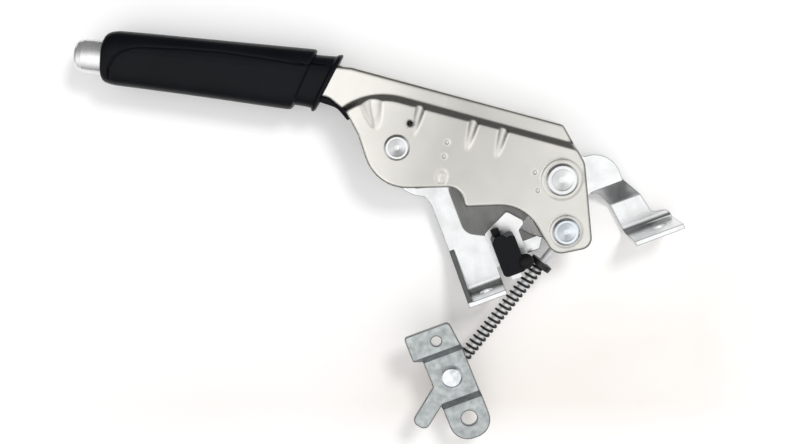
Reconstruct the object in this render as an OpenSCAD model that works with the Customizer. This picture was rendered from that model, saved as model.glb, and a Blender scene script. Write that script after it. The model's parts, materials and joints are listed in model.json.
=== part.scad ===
// Parking brake lever: stamped arm on a two-foot bracket, with ratchet, pull rod and equalizer.
// Millimetres. X runs to the rear, Z up from the mounting plane, the pivot axis along Y.

/* [Base bracket] */
// Distance between the two foot bolts
bolt_spacing = 113; // [108:0.5:118]
// Diameter of the foot bolt holes
bolt_hole_d = 9; // [7:0.1:10]
// Thickness of the bracket plate
plate_t = 3; // [2.5:0.1:3.5]
// Near face of the bracket plate, off the middle plane
plate_y = 9; // [8.6:0.1:9.4]
// Reach of the feet in front of the middle plane
foot_reach = 15; // [13:0.5:18]
// Width of the front leg
front_leg_w = 24.5; // [22:0.5:27]
// Width of the rear leg
rear_leg_w = 20; // [17:0.5:22]
// Sideways joggle of the rear leg
rear_joggle = 7; // [5:0.5:9]
// Inner bend radius of the feet
foot_bend_r = 4; // [2:0.5:5]

/* [Lever arm] */
// Height of the main pivot above the mounting plane
pivot_z = 54.4; // [53:0.2:58]
// Main pivot, behind the middle of the foot bolts
pivot_x = 9.3; // [7:0.1:11]
// Rise of the lever line above the mounting plane, released
lever_angle = 36; // [35:0.5:38]
// Sheet thickness of the lever arm
sheet_t = 1.8; // [1.5:0.1:2]
// Width of the skirt
skirt_w = 30; // [29.6:0.2:32]
// Width of the upper channel
channel_w = 22; // [20:0.5:23]
// Top of the channel above the pivot line
arm_top = 31.4; // [30.5:0.1:33]
// Foot of the joggle between channel and skirt
joggle_low = 19; // [18:0.2:20]
// Height of the joggle
joggle_h = 3.3; // [2.5:0.1:4.5]
// Edge radius along the top of the channel
top_r = 1.7; // [1:0.1:3]
// Radius of the front end of the joggle
joggle_r = 39; // [38:0.5:40]
// Depth of the stiffening darts
dart_depth = 1.7; // [1:0.1:2]
// Radius of the narrow darts
dart_r = 3; // [2.5:0.1:4]

/* [Pins] */
// Diameter of the main pivot pin
main_pin_d = 10; // [8:0.5:12]
// Diameter of the pawl pin
pawl_pin_d = 8; // [6:0.5:9]
// Diameter of the cable pin
cable_pin_d = 8; // [6:0.5:9]
// Head diameter of the main pivot pin
main_head_d = 19.6; // [17:0.2:21]
// Head diameter of the pawl pin
pawl_head_d = 15.6; // [13:0.2:17]
// Head diameter of the cable pin
cable_head_d = 16.8; // [14:0.2:18]
// Height of the riveted heads
head_h = 2.6; // [2:0.1:3.5]

/* [Ratchet] */
// Tip radius of the sector teeth about the main pivot
tooth_tip_r = 90; // [89:0.2:90.6]
// Depth of the teeth
tooth_depth = 2.8; // [2.4:0.1:3]
// Angle from tooth to tooth
tooth_pitch = 2.6; // [2.4:0.1:2.6]
// Number of tooth spaces
tooth_count = 12; // [10:1:12]
// Thickness of the sector
sector_t = 4; // [3:0.1:4.4]
// Width of the sector ring
sector_w = 12; // [10:0.5:13]

/* [Grip] */
// Bend of the grip below the lever line
grip_bend = 8.7; // [7:0.1:10]
// Length of the sleeve
sleeve_len = 122; // [118:1:124]
// Width of the sleeve
sleeve_w = 30; // [28:0.5:33]
// Diameter of the button
button_d = 21; // [19:0.2:21.4]
// Length of the button outside the sleeve
button_out = 17; // [14:0.5:19]
// Diameter of the release rod
release_d = 4; // [3.5:0.1:4.5]

/* [Pull rod] */
// Diameter of the pull rod
rod_d = 5; // [4.5:0.1:5.2]
// Rise of the pull rod from the equalizer to the lever
rod_angle = 30.7; // [30:0.1:31.5]
// Wire diameter of the rod spring
rod_wire_d = 1.55; // [1.2:0.05:1.6]
// Pitch of the rod spring
rod_spring_pitch = 3.7; // [3.2:0.1:4.2]
// Diameter of the upper spring seat
seat_d = 14.4; // [12:0.2:15]

/* [Equalizer] */
// Thickness of the equalizer plate
eq_t = 2.5; // [2:0.1:2.5]
// Width of the equalizer plate
eq_w = 26.5; // [24:0.5:28]
// Diameter of the trunnion head
trunnion_head_d = 13.4; // [12:0.2:15]
// Hole for the upper cable
eq_hole_upper_d = 6.4; // [5:0.1:7]
// Hole for the lower cable
eq_hole_lower_d = 10; // [8:0.1:11]

/* [Switch] */
// Width of the switch body
switch_w = 14.5; // [13:0.1:15]
// Height of the switch body
switch_h = 26; // [24:0.5:27]
// Diameter of the switch plunger
plunger_d = 5.2; // [4.4:0.1:6]

/* [Hidden] */
$fn = 48;
eps = 0.05;
run_gap = 0.05;      // radial running clearance of pins
side_gap = 0.2;      // axial clearance between turning pieces
slide_gap = 0.15;    // radial clearance of sliding pieces

skirt_half = skirt_w / 2;
skirt_in = skirt_half - sheet_t;
channel_half = channel_w / 2;
channel_in = channel_half - sheet_t;
plate_back = plate_y + plate_t;
sector_y = plate_y - sector_t;

// Places in the lever frame: x along the lever line to the rear, z above it, pivot at zero
pawl_at = (tooth_tip_r + 10.245) * [-0.99756, -0.06983];
cable_at = [11.3, -29.6];
grip_at = [-144, arm_top - 11.1];
channel_top = 10;
channel_low = -8.6;
joggle_at = [-105, joggle_low - joggle_r];

function turn(p, a) = [p.x * cos(a) - p.y * sin(a), p.x * sin(a) + p.y * cos(a)];
function grip_pt(s, t) = grip_at + turn([s, t], grip_bend);
function lever_pt(p) = [pivot_x, pivot_z] + turn(p, -lever_angle);
function unit(v) = v / norm(v);
function flat(p) = [p.x, p.y];

// Points of one rounded corner between two neighbours
function corner(p, before, after, r) =
    let (u = unit(before - p), w = unit(after - p), half = acos(u * w) / 2,
        c = p + unit(u + w) * r / sin(half), reach = r / tan(half),
        from = p + u * reach - c, to = p + w * reach - c,
        a0 = atan2(from.y, from.x), sweep = (atan2(to.y, to.x) - a0 + 540) % 360 - 180,
        n = max(2, ceil(abs(sweep) / 10)))
    [for (i = [0:n]) c + r * [cos(a0 + sweep * i / n), sin(a0 + sweep * i / n)]];

// Outline from corners given as [x, z, radius]
function rounded(v) = [for (i = [0:len(v) - 1])
    each v[i].z > 0
        ? corner(flat(v[i]), flat(v[(i + len(v) - 1) % len(v)]), flat(v[(i + 1) % len(v)]), v[i].z)
        : [flat(v[i])]];
function polar(r, a) = r * [cos(a), sin(a)];

module slab(y0, y1) { translate([0, y1, 0]) rotate([90, 0, 0]) linear_extrude(y1 - y0) children(); }
module cross(x0, x1) { translate([x0, 0, 0]) rotate([90, 0, 90]) linear_extrude(x1 - x0) children(); }
module pin_y(p, r, y0, y1) { translate([p.x, y1, p.y]) rotate([90, 0, 0]) cylinder(r = r, h = y1 - y0); }
module tube_y(p, r_out, r_in, y0, y1) {
    difference() { pin_y(p, r_out, y0, y1); pin_y(p, r_in, y0 - 1, y1 + 1); }
}
module between(p, q, r, sides = undef) {
    v = q - p;
    translate(p) rotate([0, acos(v.z / norm(v)), atan2(v.y, v.x)])
        cylinder(r = r, h = norm(v), $fn = is_undef(sides) ? $fn : sides);
}
module lever_frame() { translate([pivot_x, 0, pivot_z]) rotate([0, lever_angle, 0]) children(); }
module grip_frame() {
    lever_frame() translate([grip_at.x, 0, grip_at.y]) rotate([0, -grip_bend, 0]) children();
}

// Closed coil along z as a swept polygon, with flat closing turns
function coil_point(i, seg, r, pitch, turns) =
    let (t = i / seg, closed = 0.75)
    [r * cos(360 * t), r * sin(360 * t),
        pitch * (t < closed ? 0.45 * t : t > turns - closed
            ? turns - 2 * closed * 0.55 - 0.45 * (turns - t) : 0.45 * closed + t - closed)];
module coil(r, wire_r, pitch, turns, seg = 14, sides = 6) {
    n = floor(turns * seg);
    pts = [for (i = [0:n]) each let (c = coil_point(i, seg, r, pitch, turns), a = 360 * i / seg)
        [for (k = [0:sides - 1]) c + wire_r * (cos(360 * k / sides) * [cos(a), sin(a), 0]
            + sin(360 * k / sides) * [0, 0, 1])]];
    sides_faces = [for (i = [0:n - 1]) for (k = [0:sides - 1])
        [i * sides + k, (i + 1) * sides + k, (i + 1) * sides + (k + 1) % sides,
            i * sides + (k + 1) % sides]];
    polyhedron(pts, concat(sides_faces, [[for (k = [0:sides - 1]) k],
        [for (k = [sides - 1:-1:0]) n * sides + k]]));
}
function coil_len(pitch, turns) = pitch * (turns - 2 * 0.75 * 0.55);

// Lofted body along x from sections [x, half width, top, bottom, shear, power]
function ring(s, m) = [for (k = [0:m - 1]) let (a = 360 * k / m, c = cos(a), d = sin(a),
    y = s[1] * sign(c) * pow(abs(c), s[5]),
    z = (s[2] + s[3]) / 2 + (s[2] - s[3]) / 2 * sign(d) * pow(abs(d), s[5]))
    [s[0] + s[4] * z, y, z]];
module loft(sections, m = 40) {
    n = len(sections);
    pts = [for (s = sections) each ring(s, m)];
    walls = [for (i = [0:n - 2]) for (k = [0:m - 1]) each let (a = i * m + k, b = i * m + (k + 1) % m)
        [[a, b + m, b], [a, a + m, b + m]]];
    polyhedron(pts, concat(walls, [[for (k = [0:m - 1]) k], [for (k = [m - 1:-1:0]) (n - 1) * m + k]]));
}

// Base bracket
foot_front_x = -bolt_spacing / 2;
foot_rear_x = bolt_spacing / 2;
front_x0 = foot_front_x - 13;
front_x1 = front_x0 + front_leg_w;
rear_x0 = foot_rear_x - 18.5;
rear_x1 = rear_x0 + rear_leg_w;
strap_w = rear_leg_w - 2;
strap_x1 = rear_x1 - 11.5;
strap_top = pivot_z + 4.1;
strap_bend = 37;
strap_knee = 22.7;
bush_r = main_pin_d / 2 + 3;
web_r = tooth_tip_r - 5;
nose_a = 198;
tooth_lead = 1.05;
tooth_land = 0.2;
teeth_lo = nose_a - tooth_pitch * (tooth_count - 1) - 1.2;
teeth_hi = nose_a + tooth_pitch;

// Foot bent from a leg: profile in y and z
function foot_profile(y, top) = rounded([[y, top, 0], [y, plate_t, foot_bend_r], [-foot_reach, plate_t, 0],
    [-foot_reach, 0, 0], [y + plate_t, 0, foot_bend_r + plate_t], [y + plate_t, top, 0]]);

module web() {
    arc = [for (a = [nose_a - 4:-3:teeth_lo]) lever_pt(polar(web_r, a))];
    back = rounded([[pivot_x - 33, pivot_z + 24, 14], [pivot_x + 2, pivot_z + 18, 10],
        [pivot_x + 20, strap_top, 3], [strap_x1, strap_top, 17], [strap_x1, strap_bend - 1, 0],
        [pivot_x + 17, strap_bend - 1, 4], [pivot_x - 22, 14, 8], [front_x1, 14, 3],
        [front_x1, plate_t * 3, 0],
        [front_x0, plate_t * 3, 0], [front_x0, pivot_z + 10, 3],
        concat(lever_pt(polar(web_r - 2.8, nose_a + 6.9)), 2), concat(lever_pt(polar(web_r + 4, nose_a + 5.4)), 0),
        concat(lever_pt(polar(web_r + 9.6, nose_a + 3.2)), 4), concat(lever_pt(polar(web_r + 12, nose_a)), 2),
        concat(lever_pt(polar(web_r, nose_a - 5)), 0), concat(lever_pt(polar(web_r, teeth_lo)), 0)]);
    slab(plate_y, plate_back) polygon(back);
    slab(plate_y, plate_back) polygon(concat(arc, [lever_pt(polar(web_r - 20, 190))]));
}
// Room for the cable pin and its spacers as the lever swings
cable_a = atan2(cable_at.y, cable_at.x);
cable_swing_r = norm(cable_at);
cable_room = cable_pin_d / 2 + 4;
lever_travel = 26;
module cable_sweep(y0, y1) {
    inner = cable_swing_r - cable_room;
    outer = cable_swing_r + cable_room + 0.5;
    first = cable_a - lever_travel - 15;
    lever_frame() slab(y0, y1) polygon(concat(
        [for (a = [first:3:first + 24]) polar(outer, a)], [polar(75, first + 24), polar(75, cable_a + 45)],
        [for (a = [cable_a + 45:-4:first]) polar(inner, a)]));
}
module front_leg() {
    intersection() {
        cross(front_x0, front_x1) polygon(foot_profile(plate_y, 40));
        slab(-foot_reach - 1, plate_back + 1)
            polygon([[front_x0, -1], [front_x0, 41], [front_x1, 41], [front_x1, -1]]);
    }
    // Side flange that stiffens the leg down to the foot
    cross(front_x0, front_x0 + plate_t)
        polygon([[plate_y + 1, 34], [plate_y + 1, 0], [-foot_reach, 0], [-foot_reach, plate_t]]);
}
module rear_leg() {
    lift = plate_t * tan(atan2(rear_joggle, strap_bend - strap_knee) / 2);
    y1 = plate_y + rear_joggle;
    side = rounded([[y1 + plate_t, 0, foot_bend_r + plate_t], [y1 + plate_t, strap_knee + lift, 5],
        [plate_back, strap_bend + lift, 5], [plate_back, strap_top, 0], [plate_y, strap_top, 0],
        [plate_y, strap_bend, 5], [y1, strap_knee, 5], [y1, plate_t, foot_bend_r],
        [-foot_reach, plate_t, 0], [-foot_reach, 0, 0]]);
    face = rounded([[pivot_x + 17, strap_top, 0], [strap_x1, strap_top, 17], [strap_x1, strap_bend, 6],
        [rear_x1 - 3.2, strap_knee, 6], [rear_x1, plate_t * 3, 4], [foot_rear_x + 12, plate_t * 2.4, 4],
        [foot_rear_x + 12, 0, 0], [rear_x0, 0, 0], [rear_x0 - 3, strap_knee, 6],
        [strap_x1 - strap_w, strap_bend, 6], [pivot_x + 17, strap_bend - 1, 0]]);
    intersection() {
        cross(pivot_x, foot_rear_x + 20) polygon(side);
        slab(-foot_reach - 1, y1 + plate_t + 1) polygon(face);
    }
}
module base_bracket() {
    color("gainsboro") difference() {
        union() {
            difference() { web(); cable_sweep(plate_y - 1, plate_back + 1); }
            front_leg();
            rear_leg();
        }
        for (x = [foot_front_x, foot_rear_x])
            translate([x, 0, -1]) cylinder(d = bolt_hole_d, h = plate_t + 2);
        pin_y([pivot_x, pivot_z], bush_r, plate_y - 1, plate_back + 1);
        for (p = sector_rivet_at) pin_y(p, rivet_r, plate_y - 1, plate_back + 1);
        for (p = switch_rivet_at) pin_y(p, rivet_r, plate_y - 1, plate_back + 1);
    }
}

// Ratchet sector, drawn about the main pivot
rivet_r = 1.8;
sector_in_r = tooth_tip_r - sector_w;
sector_rivet_at = [for (a = [teeth_lo + 6, (teeth_lo + teeth_hi) / 2, teeth_hi - 5])
    lever_pt(polar(sector_in_r + 3.6, a))];
module ratchet_sector() {
    teeth = [for (i = [1 - tooth_count:0]) each let (a = nose_a + tooth_pitch * i)
        [polar(tooth_tip_r - tooth_depth, a), polar(tooth_tip_r, a + tooth_lead),
            polar(tooth_tip_r, a + tooth_lead + tooth_land)]];
    end = [polar(tooth_tip_r - tooth_depth, teeth_hi), polar(sector_in_r, teeth_hi)];
    hub = bush_r + 5;
    low = switch_top + 1.5;
    body = rounded([[front_x1 - 11.5, pivot_z + 17.6, 4], [front_x1 - 11.5, pivot_z - 14, 9],
        [front_x1 + 2, pivot_z - 21, 5], [front_x1 + 6, low, 2], [pivot_x - 20, low, 4],
        [pivot_x + hub, pivot_z - hub, hub - 1], [pivot_x + hub, pivot_z + hub, hub - 1]]);
    color("dimgray") difference() {
        slab(sector_y, plate_y) polygon(concat([for (p = concat([polar(tooth_tip_r, teeth_lo)], teeth, end))
            lever_pt(p)], body, [lever_pt(polar(sector_in_r, teeth_lo))]));
        cable_sweep(sector_y - 1, plate_y + 1);
        pin_y([pivot_x, pivot_z], bush_r, sector_y - 1, plate_y + 1);
        for (p = sector_rivet_at) pin_y(p, rivet_r, sector_y - 1, plate_y + 1);
    }
}
module sector_rivets() {
    color("lightgray") for (p = sector_rivet_at) {
        pin_y(p, rivet_r, sector_y, plate_back);
        pin_y(p, rivet_r + 1.2, sector_y - 1, sector_y);
        pin_y(p, rivet_r + 1.2, plate_back, plate_back + 0.8);
    }
}
module pivot_bush() {
    reach = skirt_in - side_gap;
    color("darkgray") tube_y([pivot_x, pivot_z], bush_r, main_pin_d / 2 + run_gap, -reach, reach);
}

// Riveted pin with a dished head at both ends
pad_h = 0.6;
module riveted_pin(p, d, head_d, seat) {
    r = head_d / 2;
    dish = r * 0.62;
    head = [[0, 0], [r, 0], [r, head_h * 0.5], [r - head_h * 0.5, head_h], [dish + 0.6, head_h],
        [dish, head_h - 0.3], [dish * 0.3, head_h * 0.35], [0, head_h * 0.3]];
    pin_y(p, d / 2, -skirt_half - seat, skirt_half + seat);
    for (s = [-1, 1]) translate([p.x, s * (skirt_half + seat), p.y]) rotate([-s * 90, 0, 0])
        rotate_extrude() polygon(head);
}
module main_pivot_pin() { color("silver") riveted_pin([pivot_x, pivot_z], main_pin_d, main_head_d, pad_h); }
module pawl_pin() { color("silver") riveted_pin(lever_pt(pawl_at), pawl_pin_d, pawl_head_d, 0); }
module cable_pin() {
    color("lightsteelblue") riveted_pin(lever_pt(cable_at), cable_pin_d, cable_head_d, pad_h);
}

// Lever arm: side outline, channel roof and wider skirt, shelled to the sheet thickness
joggle_drop = sheet_t * tan(atan2((skirt_w - channel_w) / 2, joggle_h) / 2);
arm_bend_x = grip_at.x + (arm_top - grip_at.y - channel_top * cos(grip_bend)) / tan(grip_bend)
    - channel_top * sin(grip_bend);
function arm_outline() = rounded([concat(grip_pt(-grip_tang, channel_top), 0), [arm_bend_x, arm_top, 30],
    [-8, arm_top, 3], [10.5, 13, 10], [29.6, -34.8, 7], [8.5, -45.5, 9], [-17.5, -20.3, 26],
    [-51.2, -30.8, 0.8], [-57.5, -20.1, 9], [-105.8, -34.2, 26], [-124.2, -5.7, 8], [-134.5, 5.4, 3],
    concat(grip_pt(-4.5, channel_low), 8), concat(grip_pt(-grip_tang, channel_low), 0)]);
// Trims the top edges of the channel to a radius, along the lever and along the grip
module top_edge(top, x0, x1) {
    for (s = [-1, 1]) cross(x0, x1) polygon(concat(
        [for (a = [0:15:90]) [s * (channel_half - top_r + top_r * cos(a)), top - top_r + top_r * sin(a)]],
        [[s * (channel_half - top_r), top + 6], [s * (channel_half + 6), top + 6],
            [s * (channel_half + 6), top - top_r]]));
}
module top_edges() {
    top_edge(arm_top, arm_bend_x - 2.3, 40);
    translate([grip_at.x, 0, grip_at.y]) rotate([0, -grip_bend, 0])
        top_edge(channel_top, -grip_tang - 5, arm_bend_x - grip_at.x + 1.7);
}
// Hollow of the channel, open below and at both ends
module channel_hollow() {
    top = channel_top - sheet_t;
    bend_x = grip_at.x + (arm_top - sheet_t - grip_at.y - top * cos(grip_bend)) / tan(grip_bend)
        - top * sin(grip_bend);
    slab(-channel_in, channel_in) polygon([[60, -110], [60, arm_top - sheet_t], [bend_x, arm_top - sheet_t],
        grip_pt(-grip_tang - 10, top), grip_pt(-grip_tang - 10, -110)]);
}
module skirt_envelope(wide, channel, drop) {
    over = 0.5;
    low = joggle_low - drop;
    narrow = channel - over;
    high = low + joggle_h * (1 + over / (wide - channel));
    cross(joggle_at.x, 60) polygon([[-wide, -110], [wide, -110], [wide, low], [narrow, high],
        [-narrow, high], [-wide, low]]);
    translate([joggle_at.x, 0, joggle_at.y]) rotate([90, 0, 0]) rotate_extrude($fn = 96)
        polygon([[0, -wide], [low - joggle_at.y, -wide], [high - joggle_at.y, -narrow],
            [high - joggle_at.y, narrow], [low - joggle_at.y, wide], [0, wide]]);
}
// Darts run across the foot of the joggle: [place on it, direction down the skirt, length, radius]
darts = [[[-92.6, joggle_low], [0, -1], 17, dart_r], [[-59.6, joggle_low], [0, -1], 17, dart_r],
    [[-41.4, joggle_low], [0, -1], 17, dart_r],
    [joggle_at + polar(joggle_r, 115), -polar(1, 115), 16, dart_r * 4.5]];
module dart(d, s, wall) {
    start = d[0] + d[1] * d[2];
    end = d[0] - d[1] * 7;
    slope = dart_depth / d[2];
    y0 = skirt_half + d[3];
    between([start.x, s * y0, start.y], [end.x, s * (y0 - slope * (d[2] + 7)), end.y], d[3] + wall);
}
module oval(p, r, reach) {
    for (d = [-reach, reach]) translate(p + [0, d]) circle(r);
    translate(p - [r, reach]) square([2 * r, 2 * reach]);
}
module lever_arm() {
    color("whitesmoke") lever_frame() difference() {
        union() {
            difference() {
                union() {
                    difference() {
                        slab(-channel_half, channel_half) polygon(arm_outline());
                        top_edges();
                    }
                    intersection() {
                        slab(-skirt_half, skirt_half) polygon(arm_outline());
                        skirt_envelope(skirt_half, channel_half, 0);
                    }
                }
                channel_hollow();
                skirt_envelope(skirt_in, channel_in, joggle_drop);
            }
            // Backs of the darts
            for (s = [-1, 1]) for (d = darts) intersection() {
                dart(d, s, sheet_t * 0.6);
                slab(min(s * skirt_half, s * 12.2), max(s * skirt_half, s * 12.2)) polygon(arm_outline());
                skirt_envelope(skirt_half - eps, channel_half, joggle_drop);
            }
            for (s = [-1, 1]) for (p = [[[0, 0], 12.2], [cable_at, 9.8]])
                pin_y(p[0], p[1], min(s * skirt_half, s * (skirt_half + pad_h)) - (s > 0 ? eps : 0),
                    max(s * skirt_half, s * (skirt_half + pad_h)) + (s < 0 ? eps : 0));
        }
        for (s = [-1, 1]) for (d = darts) dart(d, s, 0);
        pin_y([0, 0], main_pin_d / 2, -30, 30);
        pin_y(pawl_at, pawl_pin_d / 2, -30, 30);
        pin_y(cable_at, cable_pin_d / 2, -30, 30);
        // Locating hole and coining marks
        pin_y([-96.2, 8.8], 1.7, -30, 30);
        for (p = [[-72.1, 3.6], [-71.6, -4.9], [-16.7, -0.1], [-12, -10.1]])
            translate([p.x, -skirt_half - 1.2, p.y]) sphere(1.8);
        slab(-skirt_half - 1, -skirt_half + 0.45) difference() {
            oval([-69.9, -17.2], 2.85, 1.25);
            oval([-69.9, -17.2], 1.9, 1.25);
        }
    }
}

// Grip
axis_z = -1;
button_r = button_d / 2;
grip_tang = sleeve_len + 6;
sleeve_front = -sleeve_len - 17.7;
tang_clear = 0.1;
groove_r = 0.75;
module tang(clear) {
    translate([-grip_tang - 5, -channel_half - clear, channel_low - clear])
        cube([grip_tang + 25, channel_w + 2 * clear, channel_top - channel_low + 2 * clear]);
}
function collar_sections(clear) = let (c = clear) [[-33 - c, 12.6 + c, 14.6 + c, -15.5 - c, 0.33, 0.72],
    [-12, 12.8 + c, 15 + c, -16.5 - c, 0.37, 0.72], [-8, 12.9 + c, 15.2 + c, -17 - c, 0.38, 0.72],
    [-6.8, 14 + c, 16.3 + c, -18.6 - c, 0.39, 0.72], [-5.2, 14.2 + c, 16.5 + c, -19 - c, 0.4, 0.72],
    [-4.5, 13.4 + c, 15.6 + c, -18 - c, 0.4, 0.72]];
module grip_sleeve() {
    half = sleeve_w / 2;
    front = sleeve_front;
    sections = [[front, half - 2.9, 11.6, -13.6, 0, 0.82], [front + 0.7, half - 2.3, 12.9, -14.6, 0, 0.8],
        [front + 2, half - 1.9, 14.2, -15.4, 0, 0.77], [front + 4.5, half - 1.5, 15.3, -16, 0, 0.75],
        [front + 8, half - 1.2, 16, -16.4, 0, 0.74], [front + 24, half - 1, 16.4, -16.7, 0, 0.73],
        [front + 50, half - 0.7, 16.8, -17.3, 0, 0.72], [front + 78, half - 0.3, 17.3, -18.1, 0.1, 0.72],
        [front + 100, half - 0.1, 17.7, -18.8, 0.24, 0.72], [-22, half, 18, -19.3, 0.32, 0.72],
        [-20.4, half - 0.2, 17.8, -19.1, 0.325, 0.72], [-19.7, half - 1, 17, -18.3, 0.325, 0.72]];
    // Parting groove round each side panel, followed over the moulded surface
    function at(x, i) = lookup(x, [for (q = sections) [q[0], q[i]]]);
    function side(p) = let (mid = (at(p.x, 2) + at(p.x, 3)) / 2, half_h = (at(p.x, 2) - at(p.x, 3)) / 2,
        e = 2 / at(p.x, 5)) at(p.x, 1) * pow(1 - pow(abs(p.y - mid) / half_h, e), 1 / e);
    groove = [[front + 5.4, -12.5], [front + 5.5, -5.6], [front + 8.1, 0.6], [front + 11.9, 4.5],
        [front + 17.7, 7.4], [front + 23.7, 8.7], [front + 46, 10.1], [front + 70, 11], [front + 93, 10.2],
        [-28, 9.2], [-17, 8.6]];
    color("#1b1c1d") grip_frame() difference() {
        loft(sections);
        for (s = [-1, 1]) for (i = [0:len(groove) - 2]) let (p = groove[i], q = groove[i + 1])
            between([p.x, s * side(p), p.y], [q.x, s * side(q), q.y], groove_r, 8);
        tang(tang_clear);
        loft(collar_sections(tang_clear));
        translate([sleeve_front - 5, 0, axis_z]) rotate([0, 90, 0])
            cylinder(r = button_r + slide_gap, h = -grip_tang - sleeve_front + 6);
    }
}
module grip_collar() {
    color("#232425") {
        grip_frame() difference() { loft(collar_sections(0)); tang(tang_clear / 2); }
        lever_frame() slab(-channel_in + 0.2, channel_in - 0.2)
            polygon(rounded([[-153, 9.8, 0], [-147, 10.2, 3], [-135.5, 5.1, 3], [-130.8, 2.2, 0.5],
                [-132.4, 0.4, 0.5], [-140.5, 6, 8], [-153, 6.8, 0]]));
    }
}
button_back = sleeve_front + 8.5;
module push_button() {
    r = button_r;
    out = sleeve_front - button_out;
    color("silver") grip_frame() translate([0, 0, axis_z]) rotate([0, 90, 0]) rotate_extrude($fn = 64)
        polygon([[0, out], [r - 4, out], [r - 2.4, out + 0.5], [r - 1.2, out + 2], [r - 0.3, out + 5],
            [r, out + 9], [r, button_back - 1], [r - 1, button_back], [0, button_back]]);
}
spring_seat_s = button_back + 31.2;
button_wire_d = 1;
module button_spring() {
    gap = spring_seat_s - button_back - button_wire_d - 0.1;
    turns = 9;
    pitch = gap / (turns - 2 * 0.75 * 0.55);
    color("dimgray") grip_frame() translate([button_back + button_wire_d / 2 + 0.05, 0, axis_z])
        rotate([0, 90, 0]) coil(release_d / 2 + 1.6, button_wire_d / 2, pitch, turns, 12, 5);
}
module rod_guide() {
    color("ivory") grip_frame() difference() {
        translate([spring_seat_s, -channel_in + 0.03, channel_low + 0.4])
            cube([9, 2 * channel_in - 0.06, channel_top - sheet_t - channel_low - 0.43]);
        translate([spring_seat_s - 1, 0, axis_z]) rotate([0, 90, 0])
            cylinder(d = release_d + 2 * slide_gap, h = 12);
        for (s = [-1, 1])
            translate([spring_seat_s - 1, s * (channel_in - 0.03), channel_top - sheet_t - 0.03])
            rotate([0, 90, 0]) cylinder(r = top_r - sheet_t + 0.2, h = 12);
    }
}
arm_len = 20.5;
hook_at = pawl_at + [-1, arm_len];
module release_rod() {
    knee = grip_pt(3, axis_z);
    r = release_d / 2;
    run = unit(hook_at - knee);
    start = knee - run * 0.7;
    end = hook_at + run * r * 0.8;
    color("gray") {
        grip_frame() translate([button_back, 0, axis_z]) rotate([0, 90, 0])
            cylinder(r = r, h = 3.7 - button_back);
        lever_frame() {
            between([start.x, 0, start.y], [end.x, 0, end.y], r * 0.98);
            pin_y(hook_at, r, -r * 0.9, plate_y + 0.6);
        }
    }
}

// Pawl, drawn engaged and turned to ride clear of the tooth tips
pawl_lift = 6.9;
module pawl() {
    root = tooth_tip_r - tooth_depth;
    nose = [polar(tooth_tip_r + 2, nose_a + 1.35), polar(root + 0.5, nose_a + 0.05),
        polar(root + 0.5, nose_a - 0.1), polar(tooth_tip_r + 2, nose_a - 1.6)];
    boss = pawl_pin_d / 2 + 3.2;
    slot = release_d / 2 + slide_gap;
    color("darkgray") lever_frame() slab(sector_y + 0.1, plate_y - 0.1) difference() {
        union() {
            translate(pawl_at) rotate(-pawl_lift) translate(-pawl_at)
                polygon(concat(nose, [pawl_at + [boss, 0.5], pawl_at + [-boss * 0.9, -boss * 0.4]]));
            translate(pawl_at) circle(boss);
            polygon([pawl_at + [-boss, 0], pawl_at + [boss, 0], hook_at + [5, 0], hook_at + [-5, 0]]);
            translate(hook_at) circle(5);
        }
        translate(pawl_at) circle(pawl_pin_d / 2 + run_gap);
        for (d = [-1.2, 1.2]) translate(hook_at + [0, d]) circle(slot);
        translate(hook_at - [slot, 1.2]) square([2 * slot, 2.4]);
    }
}
module pawl_spacers() {
    r = pawl_pin_d / 2;
    color("dimgray") {
        tube_y(lever_pt(pawl_at), r + 2, r, -skirt_in, sector_y + 0.1 - side_gap);
        tube_y(lever_pt(pawl_at), r + 2, r, plate_y - 0.1 + side_gap, skirt_in);
    }
}

// Pull rod, its spring and the trunnion at its lower end
eye_half = 3.5;
eye_r = cable_pin_d / 2 + 4;
eye_offset = 4.3;
rod_len = 114.8;
rod_tail = 17;
rod_dir = [cos(rod_angle), sin(rod_angle)];
trunnion_at = lever_pt(cable_at) - rod_len * rod_dir - eye_offset * [-rod_dir.y, rod_dir.x];
trunnion_r = 6;
seat_at = rod_len - 27.8;
seat_t = 3.5;
washer_t = 1.5;
module rod_frame() {
    translate([trunnion_at.x, 0, trunnion_at.y]) rotate([0, 90 - rod_angle, 0]) children();
}
module cable_spacers() {
    color("dimgray") for (s = [-1, 1])
        tube_y(lever_pt(cable_at), cable_pin_d / 2 + 3, cable_pin_d / 2,
            min(s * skirt_in, s * (eye_half + side_gap)), max(s * skirt_in, s * (eye_half + side_gap)));
}
module pull_rod() {
    color("lightgray") difference() {
        union() {
            pin_y(lever_pt(cable_at), eye_r, -eye_half, eye_half);
            rod_frame() translate([0, 0, -rod_tail]) cylinder(d = rod_d, h = rod_tail + rod_len - 5.5);
        }
        pin_y(lever_pt(cable_at), cable_pin_d / 2 + run_gap, -10, 10);
    }
}
module spring_seat() {
    color("#202020") rod_frame() difference() {
        translate([0, 0, seat_at]) cylinder(d = seat_d, h = seat_t);
        translate([0, 0, seat_at - 1]) cylinder(d = rod_d, h = seat_t + 2);
    }
}
module rod_spring() {
    low = trunnion_r + washer_t + 0.4;
    span = seat_at - low - rod_wire_d - 0.1;
    turns = span / rod_spring_pitch + 2 * 0.75 * 0.55;
    color("#151515") rod_frame() translate([0, 0, low + rod_wire_d / 2 + 0.05])
        coil(rod_d / 2 + 0.3 + rod_wire_d / 2, rod_wire_d / 2, rod_spring_pitch, turns);
}
module spring_washer() {
    color("silver") rod_frame() difference() {
        translate([0, 0, trunnion_r + 0.3]) cylinder(d = rod_d + 5, h = washer_t);
        translate([0, 0, trunnion_r - 1]) cylinder(d = rod_d + 0.3, h = washer_t + 3);
    }
}
eq_y = -6.5;
neck_r = 4;
clip_y = 7.5;
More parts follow.
